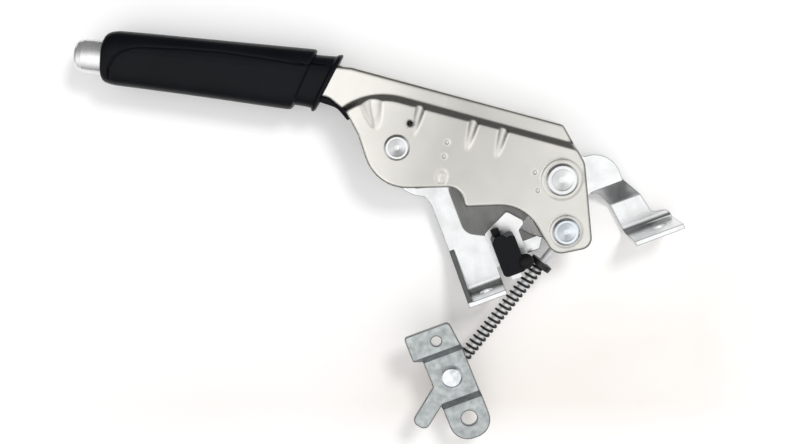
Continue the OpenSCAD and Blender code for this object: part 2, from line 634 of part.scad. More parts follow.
module trunnion() {
    color("lightsteelblue") difference() {
        union() {
            pin_y(trunnion_at, trunnion_r, eq_y + side_gap, clip_y);
            pin_y(trunnion_at, neck_r, eq_y - eq_t - side_gap - eps, eq_y + side_gap + eps);
            translate([trunnion_at.x, eq_y - eq_t - side_gap, trunnion_at.y]) rotate([90, 0, 0])
                rotate_extrude() polygon([[0, 0], [trunnion_head_d / 2, 0], [trunnion_head_d / 2, 1.6],
                    [trunnion_head_d / 2 - 1, 2.6], [0, 3]]);
            pin_y(trunnion_at, trunnion_r - 1.5, clip_y - eps, clip_y + 3);
        }
        rod_frame() translate([0, 0, -20]) cylinder(d = rod_d, h = 40);
    }
}
module trunnion_clip() {
    color("dimgray") tube_y(trunnion_at, trunnion_r + 1, trunnion_r - 1.5, clip_y, clip_y + 1);
}
nut_flats = 8;
module nut(at, h) {
    rod_frame() translate([0, 0, -at - h]) difference() {
        cylinder(d = nut_flats / cos(30), h = h, $fn = 6);
        translate([0, 0, -1]) cylinder(d = rod_d, h = h + 2);
    }
}
module adjuster_nut() { color("goldenrod") nut(trunnion_r, 5); }
module lock_nut() { color("goldenrod") nut(trunnion_r + 5, 3.2); }

// Equalizer plate in three steps, with a side arm; places are from the trunnion
eq_upper = -5;
eq_lower = 5.5;
eq_half = eq_w / 2;
module equalizer() {
    front = eq_y - eq_t;
    rise_u = eq_t * tan(atan2(-eq_upper, 4.5) / 2);
    rise_l = eq_t * tan(atan2(eq_lower, 5.5) / 2);
    side = [[front + eq_upper, 34.8], [front + eq_upper, 18.8], [front, 14.3], [front, -14.7],
        [front + eq_lower, -20.2], [front + eq_lower, -48], [eq_y + eq_lower, -48],
        [eq_y + eq_lower, -20.2 + rise_l], [eq_y, -14.7 + rise_l], [eq_y, 14.3 + rise_u],
        [eq_y + eq_upper, 18.8 + rise_u], [eq_y + eq_upper, 34.8]];
    face = rounded([[-18.5, 34.8, 2], [10.8, 34.8, 3], [eq_half - 0.5, 18, 3], [eq_half, -20, 4],
        [eq_half, -45, 12], [-eq_half + 0.5, -45, 12], [-eq_half, 15.5, 1], [-18.5, 18.5, 2]]);
    color("gainsboro") translate([trunnion_at.x, 0, trunnion_at.y]) difference() {
        union() {
            intersection() {
                cross(-40, 40) polygon(side);
                slab(-30, 10) polygon(face);
            }
            slab(front, eq_y) polygon(rounded([[-eq_half + 2, 1, 0], [-eq_half - 0.3, -2.9, 1],
                [-33.6, -19, 4], [-27.4, -27.5, 4], [-eq_half + 2, -14.7, 0]]));
        }
        pin_y([0, 0], neck_r + run_gap, -30, 10);
        pin_y([-0.5, 26], eq_hole_upper_d / 2, -30, 10);
        pin_y([0.5, -31.4], eq_hole_lower_d / 2, -30, 10);
    }
}

// Warning lamp switch beside the front leg
switch_x = foot_front_x + 20.7;
switch_z = 9;
switch_top = 21.5;
switch_plate_t = 1.5;
switch_y0 = -12;
switch_y1 = sector_y - 0.2 - switch_plate_t;
switch_rivet_at = [[switch_x - 3.5, 18], [switch_x + 3.5, 18]];
plunger_at = [switch_x - 2.8, -4];
module switch_plate() {
    x0 = switch_x - switch_w / 2 - 2;
    x1 = switch_x + switch_w / 2 + 4;
    color("white") difference() {
        union() {
            slab(switch_y1, switch_y1 + switch_plate_t) polygon(rounded([[x0, 13.5, 1], [x0, 36, 2],
                [switch_x + 8.2, 44.6, 2], [switch_x + 16.9, 34.6, 2.5], [x1, 31, 1], [x1, 13.5, 1]]));
            slab(switch_y1 + switch_plate_t - eps, plate_y)
                translate([switch_x - 7, switch_top - 7]) square([14, 7]);
        }
        for (p = switch_rivet_at) pin_y(p, rivet_r, switch_y1 - 1, plate_y + 1);
    }
}
module switch_rivets() {
    color("lightgray") for (p = switch_rivet_at) {
        pin_y(p, rivet_r, switch_y1 + 0.2, plate_back);
        pin_y(p, rivet_r + 1.4, plate_back, plate_back + 1.1);
    }
}
module switch_body() {
    w = switch_w / 2;
    top = switch_z + switch_h;
    color("#1d1f22") difference() {
        slab(switch_y0, switch_y1) polygon(rounded([[switch_x - w, switch_z, 3],
            [switch_x - w, top - 3, 2.5],
            [switch_x - w + 3, top, 1.5], [switch_x + 1, top, 1.5], [switch_x + 2.2, top - 2.6, 1],
            [switch_x + 4, top - 2.2, 1], [switch_x + w, top - 2.8, 2], [switch_x + w, switch_z, 3]]));
        translate([plunger_at.x, plunger_at.y, top - 9]) cylinder(d = plunger_d + 2 * slide_gap, h = 12);
        translate([switch_x - 3.3, -4.5, switch_z - 1]) cube([6.6, 1, 6]);
    }
}
module switch_boot() {
    x = switch_x + switch_w / 2;
    color("#0c0c0c") difference() {
        translate([x + 1, -10, switch_z + 5]) sphere(4.8);
        translate([x - 20, switch_y0, 0]) cube([20, switch_y1 - switch_y0, 60]);
    }
}
module switch_terminal() {
    color("silver") translate([switch_x - 3.15, -4.4, switch_z - 4.5]) cube([6.3, 0.8, 9.4]);
}
module switch_plunger() {
    top = switch_z + switch_h;
    color("#2a2c2f") translate([plunger_at.x, plunger_at.y, top - 5.5]) cylinder(d = plunger_d, h = 9);
}

base_bracket();
ratchet_sector();
sector_rivets();
pivot_bush();
main_pivot_pin();
lever_arm();
grip_sleeve();
grip_collar();
push_button();
button_spring();
rod_guide();
release_rod();
pawl();
pawl_pin();
pawl_spacers();
cable_pin();
cable_spacers();
pull_rod();
spring_seat();
rod_spring();
spring_washer();
trunnion();
trunnion_clip();
adjuster_nut();
lock_nut();
equalizer();
switch_plate();
switch_rivets();
switch_body();
switch_boot();
switch_terminal();
switch_plunger();
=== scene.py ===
"""Looks of the parking brake lever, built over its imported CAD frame."""

import json
import math

import bpy
from bpy.props import FloatProperty, FloatVectorProperty, IntProperty, PointerProperty
from mathutils import Matrix, Vector


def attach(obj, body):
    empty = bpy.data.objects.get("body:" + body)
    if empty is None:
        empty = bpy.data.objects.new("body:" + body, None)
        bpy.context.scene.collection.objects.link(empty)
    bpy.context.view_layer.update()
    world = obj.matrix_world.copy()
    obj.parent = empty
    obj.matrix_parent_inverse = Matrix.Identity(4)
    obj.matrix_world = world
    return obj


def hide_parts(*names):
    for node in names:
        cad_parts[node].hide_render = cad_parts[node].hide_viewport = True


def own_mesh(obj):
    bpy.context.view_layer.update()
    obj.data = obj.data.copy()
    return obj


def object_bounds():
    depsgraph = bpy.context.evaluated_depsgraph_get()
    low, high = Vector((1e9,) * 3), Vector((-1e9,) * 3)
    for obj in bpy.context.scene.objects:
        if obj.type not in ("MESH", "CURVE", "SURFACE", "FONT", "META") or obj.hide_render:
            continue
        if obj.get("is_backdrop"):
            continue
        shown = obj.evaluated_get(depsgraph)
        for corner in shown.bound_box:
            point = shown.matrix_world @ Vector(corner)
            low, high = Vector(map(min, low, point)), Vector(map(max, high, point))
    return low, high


bl_info = {
    "name": "Parking brake lever",
    "version": (1, 0, 0),
    "blender": (4, 5, 0),
    "location": "View3D > Sidebar > Brake lever",
    "description": "Dresses the parking brake lever's CAD frame for a studio picture",
    "category": "Object",
}

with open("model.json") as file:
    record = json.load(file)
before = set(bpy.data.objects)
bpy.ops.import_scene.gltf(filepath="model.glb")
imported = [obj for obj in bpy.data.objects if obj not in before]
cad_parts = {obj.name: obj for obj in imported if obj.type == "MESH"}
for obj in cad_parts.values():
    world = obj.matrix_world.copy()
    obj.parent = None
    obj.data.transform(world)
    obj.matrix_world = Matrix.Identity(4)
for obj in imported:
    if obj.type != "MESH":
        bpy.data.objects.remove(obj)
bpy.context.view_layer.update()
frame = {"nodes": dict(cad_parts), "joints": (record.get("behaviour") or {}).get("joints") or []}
NODES = frame["nodes"]
MM = 0.001

# Shared by the materials
BEVEL_SAMPLES = 12
FINE_EDGE = 0.1 * MM
GRAIN_HEIGHT = 0.2 * MM
NOISE_BAND = (0.3, 0.7)
PATCH_BAND = (0.35, 0.65)
ROUGH_LOW, ROUGH_HIGH = 0.82, 1.2

# Turns that a coil has beyond its rise at full pitch, because its ends close up
END_TURNS = 0.9

# The camera looks at the lever's pressed side. Lens, sensor and half picture are in millimetres
CAMERA_RIGHT = Vector((0.9336, 0.0, -0.3584))
CAMERA_UP = Vector((0.3529, 0.1737, 0.9194))
CAMERA_AHEAD = Vector((-0.0622, 0.9848, -0.1621))
CAMERA_TARGET = Vector((-90, -15, 65)) * MM
CAMERA_DISTANCE = 0.65
CAMERA_CLIP = (0.01, 20.0)
LENS = 48.74
SENSOR = 36.0
HALF_WIDTH, HALF_HEIGHT = 18.0, 10.0

# The part lies on its far side, so the table is upright in the frame. It ends just outside the picture
TABLE_GAP = 0.3 * MM
TABLE_MARGIN = 1.06
TABLE_ROUGH = 0.35
TABLE_GLOW = 0.08
WARM_FROM, WARM_FULL = 0.05, -0.07
WARM_PATCH = 9.0
WARM_SHARE = (0.55, 1.0)
FADE_FROM, FADE_TO = 0.75, 0.99

# The key lamp's way from the target, against the view, up and to the right, in metres
KEY_BACK, KEY_RAISE, KEY_ASIDE = 1.4, 0.6, 0.5
KEY_SIZE = 0.42
KEY_POWER = 9.5

# Brightness of the surroundings by direction. Each four are from, to, and the brightness at the two
SKY_FRONT = (-0.95, -0.1, 1.0, 0.03)
SKY_ABOVE = (0.06, 0.75, 1.0, 0.06)
SKY_LEAN_AXIS = (-0.84, 0.0, 0.54)
SKY_LEAN_UP = (-0.07, 0.02, 0.50, 1.75)
SKY_LEAN_DOWN = (-0.08, -0.16, 0.50, 1.34)
SKY_BELOW = (-0.14, -0.22, 0.50, 1.28)
SKY_ENDS = (0.72, 0.95, 0.0, 0.6)
SKY_LEVEL = 0.12


def length(name, description, default):
    return FloatProperty(name=name, description=description, default=default * MM, unit="LENGTH",
                         subtype="DISTANCE", precision=5)


def colour(name, description, default):
    return FloatVectorProperty(name=name, description=description, default=default, subtype="COLOR", size=3,
                               min=0.0, max=1.0)


class BrakeSizes(bpy.types.PropertyGroup):
    sheet_edge: length("Sheet edge", "Rounding of the stamped sheet edges", 0.45)
    bend_edge: length("Bend edge", "Rounding of the lever's pressed bends", 2.7)
    grip_edge: length("Grip edge", "Rounding of the grip sleeve's sides", 1.2)
    pin_edge: length("Pin edge", "Rounding of the pins, the nuts, the rod and the button", 0.5)
    mould_edge: length("Mould edge", "Rounding of the moulded edges", 0.6)
    wire: length("Rod spring wire", "Wire thickness of the rod spring", 1.55)
    coil: length("Rod spring radius", "Mean radius of the rod spring", 3.58)
    pitch: length("Rod spring pitch", "Distance between the rod spring's turns", 3.7)
    button_wire: length("Button spring wire", "Wire thickness of the button spring", 1.0)
    button_coil: length("Button spring radius", "Mean radius of the button spring", 3.6)
    button_pitch: length("Button spring pitch", "Distance between the button spring's turns", 3.7)
    button_travel: length("Button travel", "Way of the button into the grip", 2.6)
    rod_tilt: FloatProperty(name="Rod tilt", description="Slope of the pull rod", default=math.radians(30.7),
                            unit="ROTATION", subtype="ANGLE")
    spring_low: length("Spring start", "Rod spring's lower end from the trunnion", 7.9)
    spring_high: length("Spring end", "Rod spring's upper end from the trunnion", 87.0)


class BrakeColours(bpy.types.PropertyGroup):
    lever: colour("Lever steel", "Satin steel of the lever arm", (0.70, 0.685, 0.645))
    zinc: colour("Zinc", "Bright zinc of the bracket, two of the pins and the terminal", (0.85, 0.86, 0.865))
    dull_zinc: colour("Dull zinc", "Mottled zinc of the equalizer", (0.44, 0.465, 0.47))
    blue_zinc: colour("Blue zinc", "Bluish zinc of the cable pin, trunnion and washer", (0.78, 0.83, 0.88))
    dark: colour("Dark steel", "Plain steel of the inner pieces", (0.30, 0.30, 0.30))
    rod: colour("Rod steel", "Drawn steel of the pull rod", (0.93, 0.94, 0.96))
    chrome: colour("Button", "Bright push button", (0.88, 0.88, 0.88))
    grip: colour("Grip", "Black moulded grip", (0.0050, 0.0055, 0.0075))
    spring: colour("Spring", "Black spring wire", (0.010, 0.010, 0.010))
    switch: colour("Switch", "Black of the switch and the spring seat", (0.008, 0.0085, 0.010))
    rubber: colour("Rubber", "Black rubber boot", (0.01, 0.01, 0.01))
    flag: colour("Switch plate", "Pale tone of the switch plate and the rod guide", (0.93, 0.93, 0.93))
    brass: colour("Nut", "Yellow passivated nuts", (0.62, 0.50, 0.24))
    wear: colour("Worn edge", "Bare metal at worn edges", (0.86, 0.86, 0.85))
    # Painted shade: a near-black laid along the sheet edges and pressed bends, standing in for the shade on
    # the sheet's thickness and in the bends
    cut: colour("Cut edge", "Dark burnished edge of the cut sheet", (0.03, 0.03, 0.03))
    # Partly painted shade: the ratchet plate's steel is set darker for the shade it lies in under the lever
    plate: colour("Ratchet plate", "Grey steel of the ratchet plate", (0.20, 0.20, 0.195))
    floor: colour("Floor", "Pale table", (0.96, 0.96, 0.96))
    floor_warm: colour("Warm floor", "Warm tint of the table's lower part", (0.87, 0.825, 0.785))


class BrakeMarks(bpy.types.PropertyGroup):
    coil_steps: IntProperty(name="Coil steps", description="Steps in each turn of a coil", default=40,
                            min=12, max=96)
    wire_sides: IntProperty(name="Wire sides", description="Sides of a coil's wire", default=14,
                            min=6, max=32)


def sizes():
    return bpy.context.scene.brake_sizes


def colours():
    return bpy.context.scene.brake_colours


def joint(name):
    return next(j for j in frame["joints"] if j["name"] == name)


def node_links(mat):
    """Node tree of a material with one shader on its output"""
    mat.use_nodes = True
    tree = mat.node_tree
    tree.nodes.clear()
    out = tree.nodes.new("ShaderNodeOutputMaterial")
    shader = tree.nodes.new("ShaderNodeBsdfPrincipled")
    tree.links.new(shader.outputs["BSDF"], out.inputs["Surface"])
    return tree, shader, out


def feed(tree, socket, value):
    """Links a socket to another one, or sets a plain value on it"""
    if isinstance(value, bpy.types.NodeSocket):
        tree.links.new(value, socket)
    else:
        socket.default_value = value


def maths(tree, operation, *values):
    made = tree.nodes.new("ShaderNodeMath")
    made.operation = operation
    for socket, value in zip(made.inputs, values):
        feed(tree, socket, value)
    return made.outputs["Value"]


def dot_product(tree, a, b):
    made = tree.nodes.new("ShaderNodeVectorMath")
    made.operation = "DOT_PRODUCT"
    feed(tree, made.inputs[0], a)
    feed(tree, made.inputs[1], b)
    return made.outputs["Value"]


def noise(tree, coords, scale, detail=4.0, stretch=None):
    source = coords.outputs["Object"]
    if stretch:
        shape = tree.nodes.new("ShaderNodeMapping")
        shape.inputs["Scale"].default_value = stretch
        tree.links.new(source, shape.inputs["Vector"])
        source = shape.outputs["Vector"]
    made = tree.nodes.new("ShaderNodeTexNoise")
    made.inputs["Scale"].default_value = scale
    made.inputs["Detail"].default_value = detail
    tree.links.new(source, made.inputs["Vector"])
    return made.outputs["Fac"]


def remap(tree, value, low, high, to_low, to_high):
    made = tree.nodes.new("ShaderNodeMapRange")
    made.inputs["From Min"].default_value = low
    made.inputs["From Max"].default_value = high
    made.inputs["To Min"].default_value = to_low
    made.inputs["To Max"].default_value = to_high
    tree.links.new(value, made.inputs["Value"])
    return made.outputs["Result"]


def mix_colour(tree, factor, a, b):
    made = tree.nodes.new("ShaderNodeMix")
    made.data_type = "RGBA"
    tree.links.new(factor, made.inputs["Factor"])
    for name, value in (("A", a), ("B", b)):
        socket = next(s for s in made.inputs if s.name == name and s.type == "RGBA")
        feed(tree, socket, value if isinstance(value, bpy.types.NodeSocket) else (*value, 1.0))
    return next(s for s in made.outputs if s.type == "RGBA")


def bevel_normal(tree, radius):
    made = tree.nodes.new("ShaderNodeBevel")
    made.samples = BEVEL_SAMPLES
    made.inputs["Radius"].default_value = radius
    return made.outputs["Normal"]


def edge_mask(tree, radius, low, high):
    """One where the rounded normal leaves the face's own, nought on flat places"""
    geometry = tree.nodes.new("ShaderNodeNewGeometry")
    likeness = dot_product(tree, bevel_normal(tree, radius), geometry.outputs["Normal"])
    return remap(tree, likeness, high, low, 0.0, 1.0)


def finish_material(name, base, metal, rough, edge, wear_and_edge_shade=None, edge_band=(0.80, 0.985),
                    edge_share=(0.25, 0.8), reach=1.6, grain=900.0, stretch=None, bump=0.02, mottle=0.12,
                    patch=45.0, shine=0.5):
    """Mottled finish with rounded edges, and with another colour along them if one is given: bare worn metal,
    or a painted shade on sheet edges and bends
    """
    mat = bpy.data.materials.new(name)
    tree, shader, _ = node_links(mat)
    shader.inputs["Metallic"].default_value = metal
    shader.inputs["Specular IOR Level"].default_value = shine
    coords = tree.nodes.new("ShaderNodeTexCoord")
    cloud = noise(tree, coords, patch)
    fine = noise(tree, coords, grain, 3.0, stretch)
    dim = tuple(c * (1.0 - mottle) for c in base)
    lit = tuple(min(1.0, c * (1.0 + mottle)) for c in base)
    shade = mix_colour(tree, remap(tree, cloud, *NOISE_BAND, 0.0, 1.0), dim, lit)
    # Along the edges goes either worn bare metal, or a painted shade that darkens the edges and bends
    if wear_and_edge_shade:
        mask = edge_mask(tree, edge * reach, *edge_band)
        wear_and_shade_mask = maths(tree, "MULTIPLY", mask, remap(tree, cloud, *PATCH_BAND, *edge_share))
        shade = mix_colour(tree, wear_and_shade_mask, shade, wear_and_edge_shade)
    tree.links.new(shade, shader.inputs["Base Color"])
    roughness = remap(tree, fine, *NOISE_BAND, rough * ROUGH_LOW, min(1.0, rough * ROUGH_HIGH))
    tree.links.new(roughness, shader.inputs["Roughness"])
    relief = tree.nodes.new("ShaderNodeBump")
    relief.inputs["Strength"].default_value = bump
    relief.inputs["Distance"].default_value = GRAIN_HEIGHT
    tree.links.new(fine, relief.inputs["Height"])
    tree.links.new(bevel_normal(tree, edge), relief.inputs["Normal"])
    tree.links.new(relief.outputs["Normal"], shader.inputs["Normal"])
    return mat


def dress(node, material):
    piece = NODES[node]
    piece.data.materials.clear()
    piece.data.materials.append(material)


def new_mesh(name, vertices, faces, material, smooth=True):
    mesh = bpy.data.meshes.new(name)
    mesh.from_pydata(vertices, [], faces)
    mesh.update()
    for polygon in mesh.polygons:
        polygon.use_smooth = smooth
    mesh.materials.append(material)
    made = bpy.data.objects.new(name, mesh)
    bpy.context.scene.collection.objects.link(made)
    return made


def coil_mesh(name, radius, wire, pitch, low, high, place, material):
    """Coil of round wire from low to high, whose turns close up over the last turn at each end"""
    marks = bpy.context.scene.brake_marks
    steps, sides = marks.coil_steps, marks.wire_sides
    rise = high - low - wire
    count = int((rise / pitch + END_TURNS) * steps)
    closed = wire / pitch
    heights = [0.0]
    for i in range(count):
        opened = min(1.0, min(i, count - i) / steps) ** 0.5
        heights.append(heights[-1] + pitch / steps * (closed + (1 - closed) * opened))
    scale = rise / heights[-1]
    vertices, faces = [], []
    for i, height in enumerate(heights):
        a = 2 * math.pi * i / steps
        out = Vector((math.cos(a), math.sin(a), 0))
        centre = out * radius + Vector((0, 0, low + wire / 2 + height * scale))
        for k in range(sides):
            b = 2 * math.pi * k / sides
            around = out * math.cos(b) + Vector((0, 0, math.sin(b)))
            vertices.append(place @ (centre + around * wire / 2))
    for i in range(count):
        for k in range(sides):
            j = (k + 1) % sides
            faces.append((i * sides + k, (i + 1) * sides + k, (i + 1) * sides + j, i * sides + j))
    faces.append(tuple(range(sides)))
    faces.append(tuple(count * sides + k for k in reversed(range(sides))))
    return new_mesh(name, vertices, faces, material)


class BRAKE_OT_lever(bpy.types.Operator):
    """Satin steel on the lever arm, with painted shade along its edges and pressed bends"""
    bl_idname = "brake.lever"
    bl_label = "Lever arm"

    def execute(self, context):
        c, s = colours(), sizes()
        # Painted shade: the near-black along the outline edges and pressed bends stands in for the shade on
        # the sheet's thickness and in the bends
        steel = finish_material("lever_steel", c.lever, metal=1.0, rough=0.17, edge=s.bend_edge,
                                wear_and_edge_shade=c.cut, edge_band=(0.80, 0.94), edge_share=(0.9, 1.0), reach=1.35,
                                grain=2600.0, bump=0.006, mottle=0.05)
        dress("lever_arm", steel)
        return {"FINISHED"}


class BRAKE_OT_bracket(bpy.types.Operator):
    """Bright zinc on the bracket and its rivets, with painted shade along the sheet edges, and dark steel on
    the ratchet sector, made darker as painted shade under the lever
    """
    bl_idname = "brake.bracket"
    bl_label = "Base bracket"

    def execute(self, context):
        c, s = colours(), sizes()
        # Painted shade: near-black along the bracket's sheet edges, standing in for the shade on the sheet's
        # thickness
        zinc = finish_material("bracket_zinc", c.zinc, metal=1.0, rough=0.22, edge=s.sheet_edge,
                               wear_and_edge_shade=c.cut, edge_band=(0.86, 0.975), edge_share=(0.6, 0.95), reach=2.6,
                               grain=260.0, stretch=(1.0, 1.0, 0.2), bump=0.02, mottle=0.09, patch=90.0)
        # Partly painted shade: the ratchet sector's steel is set darker for the shade it lies in under the
        # lever
        dark_steel_and_shade = finish_material("ratchet_steel_and_shade", c.plate, metal=1.0, rough=0.40, edge=s.sheet_edge,
                               wear_and_edge_shade=c.wear, stretch=(1.0, 1.0, 0.12), mottle=0.15)
        for node in ("base_bracket", "sector_rivets", "switch_rivets"):
            dress(node, zinc)
        dress("ratchet_sector", dark_steel_and_shade)
        return {"FINISHED"}


class BRAKE_OT_pins(bpy.types.Operator):
    """Riveted pins, and plain steel on the inner pieces"""
    bl_idname = "brake.pins"
    bl_label = "Pins"

    def execute(self, context):
        c, s = colours(), sizes()
        bright = finish_material("pin_steel", c.zinc, metal=1.0, rough=0.30, edge=s.pin_edge,
                                 wear_and_edge_shade=c.wear, grain=420.0, bump=0.06, mottle=0.08)
        blue = finish_material("pin_blue_zinc", c.blue_zinc, metal=1.0, rough=0.30, edge=s.pin_edge,
                               wear_and_edge_shade=c.wear, grain=420.0, bump=0.06)
        dark = finish_material("inner_steel", c.dark, metal=1.0, rough=0.42, edge=s.pin_edge,
                               wear_and_edge_shade=c.wear)
        dress("main_pivot_pin", bright)
        dress("pawl_pin", bright)
        dress("cable_pin", blue)
        for node in ("pivot_bush", "pawl_spacers", "cable_spacers", "pawl", "release_rod", "trunnion_clip"):
            dress(node, dark)
        return {"FINISHED"}


class BRAKE_OT_grip(bpy.types.Operator):
    """Black moulded grip, its collar and the rod guide"""
    bl_idname = "brake.grip"
    bl_label = "Grip"

    def execute(self, context):
        c, s = colours(), sizes()
        sleeve = finish_material("grip_black", c.grip, metal=0.0, rough=0.36, edge=s.grip_edge, grain=1400.0,
                                 bump=0.03, mottle=0.2, shine=0.11)
        collar = finish_material("collar_black", c.grip, metal=0.0, rough=0.36, edge=s.mould_edge,
                                 grain=1400.0, bump=0.03, mottle=0.2, shine=0.11)
        guide = finish_material("guide_plastic", c.flag, metal=0.0, rough=0.5, edge=s.mould_edge)
        dress("grip_sleeve", sleeve)
        dress("grip_collar", collar)
        dress("rod_guide", guide)
        return {"FINISHED"}


class BRAKE_OT_button(bpy.types.Operator):
    """Bright push button and its spring"""
    bl_idname = "brake.button"
    bl_label = "Push button"

    def execute(self, context):
        c, s = colours(), sizes()
        chrome = finish_material("button_chrome", c.chrome, metal=0.75, rough=0.24, edge=s.pin_edge,
                                 wear_and_edge_shade=c.wear, grain=900.0, bump=0.01, mottle=0.06)
        wire = finish_material("button_spring_steel", c.dark, metal=1.0, rough=0.38, edge=FINE_EDGE,
                               wear_and_edge_shade=c.wear)
        dress("push_button", chrome)
        # The coil takes its line and its two ends from the solid that it replaces
        inward = Vector(joint("button_press")["axis"])
        points = [v.co for v in NODES["button_spring"].data.vertices]
        along = [p.dot(inward) for p in points]
        low, high = min(along), max(along)
        centre = sum(points, Vector()) / len(points)
        foot = centre - inward * centre.dot(inward)
        place = Matrix.Translation(foot) @ inward.to_track_quat("Z", "Y").to_matrix().to_4x4()
        coil = coil_mesh("button_spring_wire", s.button_coil, s.button_wire, s.button_pitch, low, high, place,
                         wire)
        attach(coil, "button")
        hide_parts("button_spring")
        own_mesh(coil)
        return {"FINISHED"}


class BRAKE_OT_rod(bpy.types.Operator):
    """Pull rod, its spring, the trunnion and the nuts"""
    bl_idname = "brake.rod"
    bl_label = "Pull rod"

    def execute(self, context):
        c, s = colours(), sizes()
        rod = finish_material("rod_steel", c.rod, metal=0.3, rough=0.45, edge=s.pin_edge, wear_and_edge_shade=c.wear)
        wire = finish_material("spring_black", c.spring, metal=0.2, rough=0.38, edge=FINE_EDGE, mottle=0.2)
        seat = finish_material("seat_black", c.switch, metal=0.0, rough=0.45, edge=s.mould_edge)
        blue = finish_material("trunnion_zinc", c.blue_zinc, metal=1.0, rough=0.30, edge=s.pin_edge,
                               wear_and_edge_shade=c.wear, grain=420.0, bump=0.08, mottle=0.25, patch=300.0)
        brass = finish_material("nut_yellow", c.brass, metal=1.0, rough=0.34, edge=s.pin_edge,
                                wear_and_edge_shade=c.wear)
        dress("pull_rod", rod)
        dress("spring_seat", seat)
        dress("spring_washer", blue)
        dress("trunnion", blue)
        dress("adjuster_nut", brass)
        dress("lock_nut", brass)
        trunnion = Vector(joint("equalizer_tilt")["pos_m"])
        place = Matrix.Translation(trunnion) @ Matrix.Rotation(math.pi / 2 - s.rod_tilt, 4, "Y")
        coil = coil_mesh("rod_spring_wire", s.coil, s.wire, s.pitch, s.spring_low, s.spring_high, place, wire)
        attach(coil, "rod")
        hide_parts("rod_spring")
        return {"FINISHED"}


class BRAKE_OT_equalizer(bpy.types.Operator):
    """Zinc plated equalizer plate, with painted shade along its edges"""
    bl_idname = "brake.equalizer"
    bl_label = "Equalizer"

    def execute(self, context):
        c, s = colours(), sizes()
        # Painted shade: the near-black along the plate's edges and bends stands in for the shade on the
        # sheet's thickness
        zinc = finish_material("equalizer_zinc", c.dull_zinc, metal=1.0, rough=0.34, edge=s.sheet_edge,
                               wear_and_edge_shade=c.cut, edge_band=(0.93, 0.992), edge_share=(0.6, 1.0), reach=4.0,
                               grain=420.0, bump=0.10, mottle=0.26, patch=230.0)
        dress("equalizer", zinc)
        return {"FINISHED"}


class BRAKE_OT_switch(bpy.types.Operator):
    """Warning lamp switch and its plate"""
    bl_idname = "brake.switch"
    bl_label = "Switch"

    def execute(self, context):
        c, s = colours(), sizes()
        black = finish_material("switch_black", c.switch, metal=0.0, rough=0.40, edge=s.mould_edge, bump=0.05,
                                shine=0.10)
        rubber = finish_material("boot_rubber", c.rubber, metal=0.0, rough=0.55, edge=s.mould_edge, shine=0.2)
        pale = finish_material("flag_bright", c.flag, metal=1.0, rough=0.34, edge=s.sheet_edge,
                               wear_and_edge_shade=c.wear, mottle=0.03)
        zinc = finish_material("terminal_zinc", c.zinc, metal=1.0, rough=0.3, edge=FINE_EDGE,
                               wear_and_edge_shade=c.wear)
        dress("switch_body", black)
        dress("switch_plunger", black)
        dress("switch_boot", rubber)
        dress("switch_plate", pale)
        dress("switch_terminal", zinc)
        return {"FINISHED"}


def place_camera(scene):
    """Camera at the photo's angle. Returns its place"""
    camera = bpy.data.objects.new("camera", bpy.data.cameras.new("camera"))
    scene.collection.objects.link(camera)
    camera.data.sensor_width = SENSOR
    camera.data.lens = LENS
    camera.data.clip_start, camera.data.clip_end = CAMERA_CLIP
    turn = Matrix((CAMERA_RIGHT, CAMERA_UP, -CAMERA_AHEAD)).transposed().to_4x4()
    camera.matrix_world = Matrix.Translation(CAMERA_TARGET - CAMERA_AHEAD * CAMERA_DISTANCE) @ turn
    scene.camera = camera
    return camera.matrix_world.translation


def table_corners(eye, table_y):
    """Where the picture's corners, a little widened, meet the table"""
    corners = []
    for u, v in ((-1, -1), (1, -1), (1, 1), (-1, 1)):
        across = CAMERA_RIGHT * u * HALF_WIDTH + CAMERA_UP * v * HALF_HEIGHT
        ray = CAMERA_AHEAD * LENS + across * TABLE_MARGIN
        corners.append(eye + ray * ((table_y - eye.y) / ray.y))
    return corners


def fade_out(tree, coords, value, axis, corners):
    """The value, brought down to nothing near the table's edges along an axis"""
    reach = [corner.dot(axis) for corner in corners]
    middle = sum(reach) / len(reach)
    half = min(abs(r - middle) for r in reach)
    offset = maths(tree, "SUBTRACT", dot_product(tree, coords.outputs["Object"], axis), middle)
    away = maths(tree, "ABSOLUTE", offset)
    return maths(tree, "MULTIPLY", value, remap(tree, away, half * FADE_FROM, half * FADE_TO, 1.0, 0.0))


